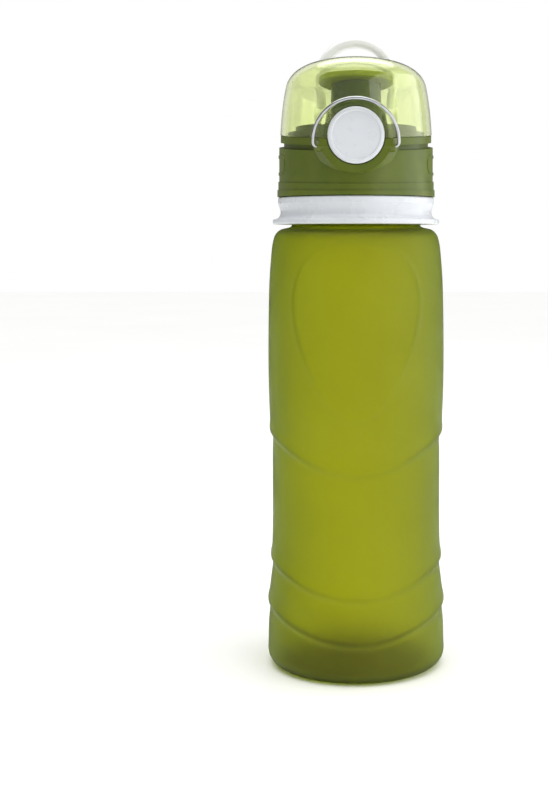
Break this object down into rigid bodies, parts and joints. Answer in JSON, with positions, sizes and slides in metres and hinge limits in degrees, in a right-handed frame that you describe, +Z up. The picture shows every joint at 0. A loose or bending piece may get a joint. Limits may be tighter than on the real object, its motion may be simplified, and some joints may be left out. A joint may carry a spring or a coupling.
{
  "type": "folding water bottle",
  "caption": "Soft silicone drinking bottle that squashes down when empty, with a screw-on lid, clear flip cover, push button, wire lock and carry loop.",
  "frame": {"origin": "centre of the flat face under the foot", "axes": "+Z up the bottle's axis to the lid, -Y towards the push button at the front, +X to the right as seen from the front"},
  "size_m": [0.0736, 0.0789, 0.2652],
  "materials": {
    "bottle_silicone": "frosted, slightly translucent",
    "white_plastic": "gloss",
    "seal_silicone": "satin, translucent",
    "lid_plastic": "satin",
    "spout_plastic": "gloss",
    "clear_plastic": "clear, tinted green",
    "latch_plastic": "matte",
    "steel_pin": "bright",
    "spring_wire": "bright",
    "bail_wire": "bright"
  },
  "bodies": {
    "bottle": {"silicone_foot": "bottle_silicone", "silicone_wall": "bottle_silicone"},
    "neck": {"silicone_neck": "bottle_silicone", "neck_collar": "white_plastic", "neck_insert": "white_plastic"},
    "gasket": {"lid_gasket": "seal_silicone"},
    "lid": {"lid_base": "lid_plastic", "deck_plate": "lid_plastic", "spout": "spout_plastic", "spout_gasket": "seal_silicone", "vent_valve": "seal_silicone", "hinge_pin": "steel_pin", "torsion_spring": "spring_wire", "button_spring": "spring_wire"},
    "cover": {"flip_cover": "clear_plastic", "cover_seal": "seal_silicone"},
    "handle": {"carry_handle": "white_plastic"},
    "button": {"push_button": "white_plastic", "latch_slider": "latch_plastic"},
    "bail": {"wire_bail": "bail_wire"}
  },
  "joints": [
    {"name": "body_collapse", "type": "slide", "parent": "bottle", "child": "neck", "axis": [0, 0, 1], "range_m": [-0.1, 0], "stiffness_N_per_m": 300, "springref_m": 0.01, "deforming": ["silicone_wall"]},
    {"name": "lid_lift", "type": "slide", "parent": "neck", "child": "gasket", "axis": [0, 0, 1], "range_m": [0, 0.02001]},
    {"name": "lid_turn", "type": "hinge", "parent": "gasket", "child": "lid", "pos_m": [0, 0, 0.2], "axis": [0, 0, 1], "range_deg": [0, 1800]},
    {"name": "cover_open", "type": "hinge", "parent": "lid", "child": "cover", "pos_m": [0, 0.035, 0.2295], "axis": [-1, 0, 0], "range_deg": [0, 105], "deforming": ["torsion_spring"]},
    {"name": "handle_swing", "type": "hinge", "parent": "cover", "child": "handle", "pos_m": [0, 0.035, 0.2295], "axis": [-1, 0, 0], "range_deg": [0, 60]},
    {"name": "button_press", "type": "slide", "parent": "lid", "child": "button", "axis": [0, 1, 0], "range_m": [0, 0.0015], "stiffness_N_per_m": 800, "springref_m": -0.002, "deforming": ["button_spring"]},
    {"name": "bail_swing", "type": "hinge", "parent": "lid", "child": "bail", "pos_m": [0, -0.0325, 0.2131], "axis": [1, 0, 0], "range_deg": [0, 150]}
  ],
  "couplings": [
    {"joint": "lid_lift", "follows": "lid_turn", "m_per_rad": 0.00063662}
  ]
}
